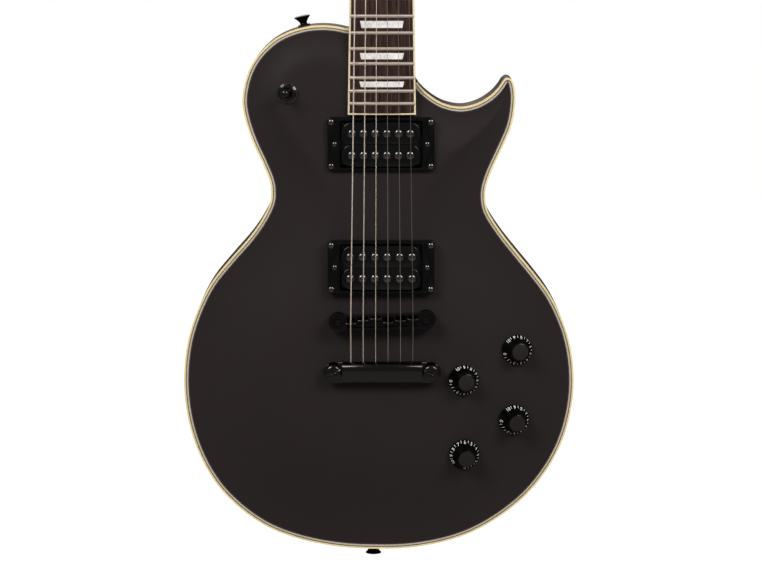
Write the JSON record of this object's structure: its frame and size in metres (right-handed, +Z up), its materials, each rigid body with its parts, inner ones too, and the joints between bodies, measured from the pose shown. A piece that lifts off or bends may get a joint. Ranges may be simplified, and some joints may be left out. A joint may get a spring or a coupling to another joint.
{
  "type": "electric guitar",
  "caption": "Solid-body electric guitar: single cutaway, carved bound top, set neck, two humbucking pickups, fixed bridge, stop tailpiece, knobs and toggle switch.",
  "frame": {"origin": "centre of the flat outer face of the end strap button, at the body's lowest point", "axes": "+Z up the guitar from the end strap button towards the headstock, -Y out of the carved top towards the listener, +X towards the treble side"},
  "size_m": [0.3307, 0.1174, 1.0219],
  "materials": {
    "satin_black_lacquer": "satin lacquer over wood",
    "cream_binding": "polished cream celluloid",
    "rosewood": "oiled open-grain rosewood",
    "bone": "polished bone",
    "nickel_steel": "nickel-plated steel",
    "wound_string": "wound string with a warm bronze tint",
    "plain_string": "plain polished steel",
    "black_plastic": "black plastic",
    "black_chrome": "black chrome plating"
  },
  "bodies": {
    "guitar": {"truss_rod_cover": "black_plastic", "tuner_housing_low_e": "black_chrome", "tuner_housing_a": "black_chrome", "tuner_housing_d": "black_chrome", "tuner_housing_g": "black_chrome", "tuner_housing_b": "black_chrome", "tuner_housing_high_e": "black_chrome", "fingerboard": "rosewood", "fingerboard_binding": "cream_binding", "nut": "bone", "truss_rod": "nickel_steel", "bridge_volume_pot": "nickel_steel", "neck_volume_pot": "nickel_steel", "bridge_tone_pot": "nickel_steel", "neck_tone_pot": "nickel_steel", "toggle_switch_body": "black_chrome", "jack_plate": "black_chrome", "output_jack": "nickel_steel", "body": "satin_black_lacquer", "body_binding": "cream_binding", "neck": "satin_black_lacquer", "string_low_e": "wound_string", "string_a": "wound_string", "string_d": "wound_string", "string_g": "plain_string", "string_b": "plain_string", "string_high_e": "plain_string", "bridge": "black_chrome", "bridge_post_bass": "black_chrome", "bridge_post_treble": "black_chrome", "tailpiece": "black_chrome", "tailpiece_stud_bass": "black_chrome", "tailpiece_stud_treble": "black_chrome", "neck_pickup_ring": "black_plastic", "bridge_pickup_ring": "black_plastic", "control_cavity_cover": "black_plastic", "switch_cavity_cover": "black_plastic", "end_strap_button": "black_chrome", "shoulder_strap_button": "black_chrome"},
    "bridge_volume_knob_turn": {"bridge_volume_knob": "black_plastic"},
    "neck_volume_knob_turn": {"neck_volume_knob": "black_plastic"},
    "bridge_tone_knob_turn": {"bridge_tone_knob": "black_plastic"},
    "neck_tone_knob_turn": {"neck_tone_knob": "black_plastic"},
    "toggle": {"toggle_switch_lever": "black_plastic"},
    "low_e_button_body": {"tuner_button_low_e": "black_chrome"},
    "low_e_post_body": {"tuner_post_low_e": "black_chrome"},
    "a_button_body": {"tuner_button_a": "black_chrome"},
    "a_post_body": {"tuner_post_a": "black_chrome"},
    "d_button_body": {"tuner_button_d": "black_chrome"},
    "d_post_body": {"tuner_post_d": "black_chrome"},
    "g_button_body": {"tuner_button_g": "black_chrome"},
    "g_post_body": {"tuner_post_g": "black_chrome"},
    "b_button_body": {"tuner_button_b": "black_chrome"},
    "b_post_body": {"tuner_post_b": "black_chrome"},
    "high_e_button_body": {"tuner_button_high_e": "black_chrome"},
    "high_e_post_body": {"tuner_post_high_e": "black_chrome"},
    "neck_pickup": {"neck_pickup_coils": "black_plastic", "neck_pickup_baseplate": "nickel_steel"},
    "bridge_pickup": {"bridge_pickup_coils": "black_plastic", "bridge_pickup_baseplate": "nickel_steel"}
  },
  "joints": [
    {"name": "bridge_volume_turn", "type": "hinge", "parent": "guitar", "child": "bridge_volume_knob_turn", "pos_m": [0.1214, -0.0294, 0.1821], "axis": [0.1478, -0.9889, 0.0173], "range_deg": [0, 270]},
    {"name": "neck_volume_turn", "type": "hinge", "parent": "guitar", "child": "neck_volume_knob_turn", "pos_m": [0.0761, -0.035, 0.1571], "axis": [0.1478, -0.989, 0], "range_deg": [0, 270]},
    {"name": "bridge_tone_turn", "type": "hinge", "parent": "guitar", "child": "bridge_tone_knob_turn", "pos_m": [0.119, -0.02958, 0.1226], "axis": [0.165, -0.9832, -0.0774], "range_deg": [0, 270]},
    {"name": "neck_tone_turn", "type": "hinge", "parent": "guitar", "child": "neck_tone_knob_turn", "pos_m": [0.0769, -0.03258, 0.0934], "axis": [0.1219, -0.9851, -0.121], "range_deg": [0, 270]},
    {"name": "toggle_tilt", "type": "hinge", "parent": "guitar", "child": "toggle", "pos_m": [-0.07165, -0.02654, 0.39953], "axis": [-0.9962, 0.0871, -0.0038], "range_deg": [-14, 14]},
    {"name": "low_e_button_turn", "type": "hinge", "parent": "guitar", "child": "low_e_button_body", "pos_m": [-0.0148, 0.02925, 0.88887], "axis": [-1, 0, 0], "continuous": true},
    {"name": "low_e_post_turn", "type": "hinge", "parent": "guitar", "child": "low_e_post_body", "pos_m": [-0.0148, 0.00769, 0.88825], "axis": [0, -0.9548, 0.2974], "continuous": true},
    {"name": "a_button_turn", "type": "hinge", "parent": "guitar", "child": "a_button_body", "pos_m": [-0.0138, 0.04144, 0.92801], "axis": [-1, 0, 0], "continuous": true},
    {"name": "a_post_turn", "type": "hinge", "parent": "guitar", "child": "a_post_body", "pos_m": [-0.0138, 0.01988, 0.92739], "axis": [0, -0.9548, 0.2974], "continuous": true},
    {"name": "d_button_turn", "type": "hinge", "parent": "guitar", "child": "d_button_body", "pos_m": [-0.0128, 0.05364, 0.96716], "axis": [-1, 0, 0], "continuous": true},
    {"name": "d_post_turn", "type": "hinge", "parent": "guitar", "child": "d_post_body", "pos_m": [-0.0128, 0.03208, 0.96654], "axis": [0, -0.9548, 0.2974], "continuous": true},
    {"name": "g_button_turn", "type": "hinge", "parent": "guitar", "child": "g_button_body", "pos_m": [0.0272, 0.05364, 0.96716], "axis": [1, 0, 0], "continuous": true},
    {"name": "g_post_turn", "type": "hinge", "parent": "guitar", "child": "g_post_body", "pos_m": [0.0272, 0.03208, 0.96654], "axis": [0, -0.9548, 0.2974], "continuous": true},
    {"name": "b_button_turn", "type": "hinge", "parent": "guitar", "child": "b_button_body", "pos_m": [0.0282, 0.04144, 0.92801], "axis": [1, 0, 0], "continuous": true},
    {"name": "b_post_turn", "type": "hinge", "parent": "guitar", "child": "b_post_body", "pos_m": [0.0282, 0.01988, 0.92739], "axis": [0, -0.9548, 0.2974], "continuous": true},
    {"name": "high_e_button_turn", "type": "hinge", "parent": "guitar", "child": "high_e_button_body", "pos_m": [0.0292, 0.02925, 0.88887], "axis": [1, 0, 0], "continuous": true},
    {"name": "high_e_post_turn", "type": "hinge", "parent": "guitar", "child": "high_e_post_body", "pos_m": [0.0292, 0.00769, 0.88825], "axis": [0, -0.9548, 0.2974], "continuous": true},
    {"name": "neck_pickup_height", "type": "slide", "parent": "guitar", "child": "neck_pickup", "axis": [0, -1, 0], "range_m": [-0.003, 0.0015]},
    {"name": "bridge_pickup_height", "type": "slide", "parent": "guitar", "child": "bridge_pickup", "axis": [0, -1, 0], "range_m": [-0.003, 0.0015]}
  ],
  "couplings": [
    {"joint": "low_e_post_turn", "follows": "low_e_button_turn", "ratio": 0.066667},
    {"joint": "a_post_turn", "follows": "a_button_turn", "ratio": 0.066667},
    {"joint": "d_post_turn", "follows": "d_button_turn", "ratio": 0.066667},
    {"joint": "g_post_turn", "follows": "g_button_turn", "ratio": -0.066667},
    {"joint": "b_post_turn", "follows": "b_button_turn", "ratio": -0.066667},
    {"joint": "high_e_post_turn", "follows": "high_e_button_turn", "ratio": -0.066667}
  ]
}
